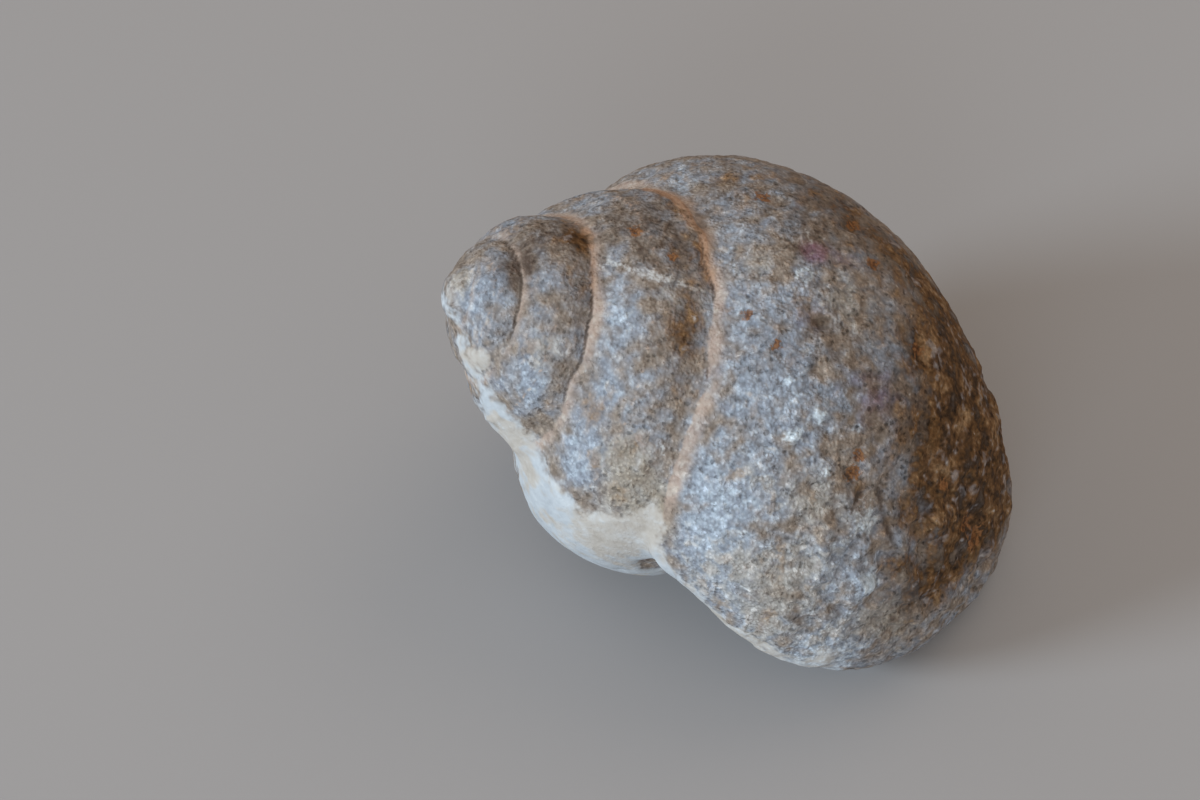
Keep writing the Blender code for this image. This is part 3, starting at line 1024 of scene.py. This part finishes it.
class StudioSetup(bpy.types.PropertyGroup):
    """The camera, the lamps and the surface."""

    camera_place: FloatVectorProperty(
        name="Camera", description="Place of the camera", subtype="TRANSLATION",
        default=(-0.0155, -0.2181, 0.2846))
    camera_pitch: FloatProperty(
        name="Pitch", description="How far the camera is raised from looking down",
        subtype="ANGLE", default=math.radians(39.4))
    camera_roll: FloatProperty(
        name="Roll", description="Roll of the camera", subtype="ANGLE",
        default=math.radians(3.8))
    lens: FloatProperty(name="Lens", description="Focal length in millimetres", default=88.75)
    floor_colour: colour_setting("Surface", "Colour of the surface", (0.335, 0.328, 0.336))
    key_watts: FloatProperty(
        name="Key", description="Power of the large soft lamp", unit="POWER", default=5.1)
    fill_watts: FloatProperty(
        name="Fill", description="Power of the weak lamp in front", unit="POWER", default=2.8)
    key_colour: colour_setting("Key colour", "Colour of the large soft lamp", (0.76, 0.90, 1.0))
    overhead_watts: FloatProperty(
        name="Overhead", description="Power of the soft lamp overhead", unit="POWER",
        default=1.5)
    warm_colour: colour_setting(
        "Warm colour", "Colour of the soft lamp overhead", (1.0, 0.86, 0.72))
    sky_strength: FloatProperty(
        name="Sky", description="Strength of the even light", default=0.54)
    sky_colour: colour_setting("Sky colour", "Colour of the even light", (1.0, 0.885, 0.775))


# ---------------------------------------------------------------- stage and operators


def soft_lamp(name, place, width, spread, watts, colour):
    """Add a soft round lamp that shines on the stone."""
    lamp = bpy.data.lights.new(name, "AREA")
    lamp.shape = "DISK"
    lamp.size = width
    lamp.spread = spread
    lamp.energy = watts
    lamp.color = colour[:3]
    source = bpy.data.objects.new(name, lamp)
    source.location = place
    source.rotation_euler = (-source.location).to_track_quat("-Z", "Y").to_euler()
    bpy.context.scene.collection.objects.link(source)


class OBJECT_OT_fossil_mould(bpy.types.Operator):
    """Sweep, fuse and carve the stone, and give it its limestone."""

    bl_idname = "object.fossil_mould"
    bl_label = "Limestone mould"

    def execute(self, context):
        shape = context.scene.mould_shape
        tube = swept_tube()
        stone = fused_skin(tube, shape.cell, shape.wear)
        mesh = stone.data
        shift = settle(mesh)
        places = rows(mesh.vertices, "co")
        turns = turns_on_skin(tube, shift, places)
        tube.free()
        ends = rows(mesh.edges, "vertices", 2, np.int32)
        suture, suture_turn = suture_distance(ends, places, turns)
        fields = carve(mesh, ends, turns, suture, suture_turn, shape)
        for name, values in fields.items():
            layer = mesh.attributes.new(name, "FLOAT", "POINT")
            layer.data.foreach_set("value", values.astype(np.float32))
        lay_down(mesh)
        mesh.materials.clear()
        mesh.materials.append(limestone(context.scene.stone_colours, fields))
        mesh.shade_smooth()
        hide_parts(NODE)
        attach(stone, "root")
        return {"FINISHED"}


class SCENE_OT_fossil_stage(bpy.types.Operator):
    """Set up the pale surface, the soft light and the camera."""

    bl_idname = "scene.fossil_stage"
    bl_label = "Surface, light and camera"

    def execute(self, context):
        studio = context.scene.studio_setup
        collection = context.scene.collection

        mesh = bpy.data.meshes.new("surface")
        bm = bmesh.new()
        bmesh.ops.create_grid(bm, x_segments=1, y_segments=1, size=SURFACE_HALF_WIDTH)
        bmesh.ops.translate(bm, verts=bm.verts, vec=(0.0, 0.0, -SURFACE_DROP))
        bm.to_mesh(mesh)
        bm.free()
        mesh.materials.append(plain("pale_surface", studio.floor_colour, 0.8))
        surface = bpy.data.objects.new("surface", mesh)
        collection.objects.link(surface)

        for name, place, width, degrees, watts, colour in LAMPS:
            soft_lamp(name, place, width, math.radians(degrees), getattr(studio, watts),
                      getattr(studio, colour))

        world = bpy.data.worlds.new("even_light")
        world.use_nodes = True
        sky = world.node_tree.nodes["Background"]
        sky.inputs["Color"].default_value = studio.sky_colour
        sky.inputs["Strength"].default_value = studio.sky_strength
        context.scene.world = world

        lens = bpy.data.cameras.new("camera")
        lens.lens = studio.lens
        lens.clip_start = 0.01
        camera = bpy.data.objects.new("camera", lens)
        turn = Matrix.Rotation(studio.camera_pitch, 4, "X") @ Matrix.Rotation(
            studio.camera_roll, 4, "Z")
        camera.matrix_world = Matrix.Translation(studio.camera_place) @ turn
        collection.objects.link(camera)
        context.scene.camera = camera
        context.scene.view_settings.view_transform = "Standard"
        return {"FINISHED"}


class VIEW3D_PT_fossil(bpy.types.Panel):
    """The sidebar's list of the stone's sizes, colours and steps."""

    bl_idname = "VIEW3D_PT_fossil"
    bl_label = "Fossil snail mould"
    bl_space_type = "VIEW_3D"
    bl_region_type = "UI"
    bl_category = "Fossil"

    def draw(self, context):
        for group, operator in (
                ("mould_shape", "object.fossil_mould"),
                ("stone_colours", None),
                ("studio_setup", "scene.fossil_stage")):
            settings = getattr(context.scene, group)
            box = self.layout.box()
            for name in settings.__annotations__:
                box.prop(settings, name)
            if operator:
                box.operator(operator)


SETTINGS = {
    "mould_shape": MouldShape, "stone_colours": StoneColours, "studio_setup": StudioSetup}
CLASSES = (*SETTINGS.values(), OBJECT_OT_fossil_mould, SCENE_OT_fossil_stage, VIEW3D_PT_fossil)


def register():
    """Register the classes and hang their settings on the scene."""
    for cls in CLASSES:
        bpy.utils.register_class(cls)
    for name, group in SETTINGS.items():
        setattr(bpy.types.Scene, name, PointerProperty(type=group))


def unregister():
    """Take the settings and the classes away."""
    for name in SETTINGS:
        delattr(bpy.types.Scene, name)
    for cls in reversed(CLASSES):
        bpy.utils.unregister_class(cls)


def main():
    """Build the stone and its stage."""
    register()
    bpy.ops.object.fossil_mould()
    bpy.ops.scene.fossil_stage()


if __name__ == "__main__":
    main()
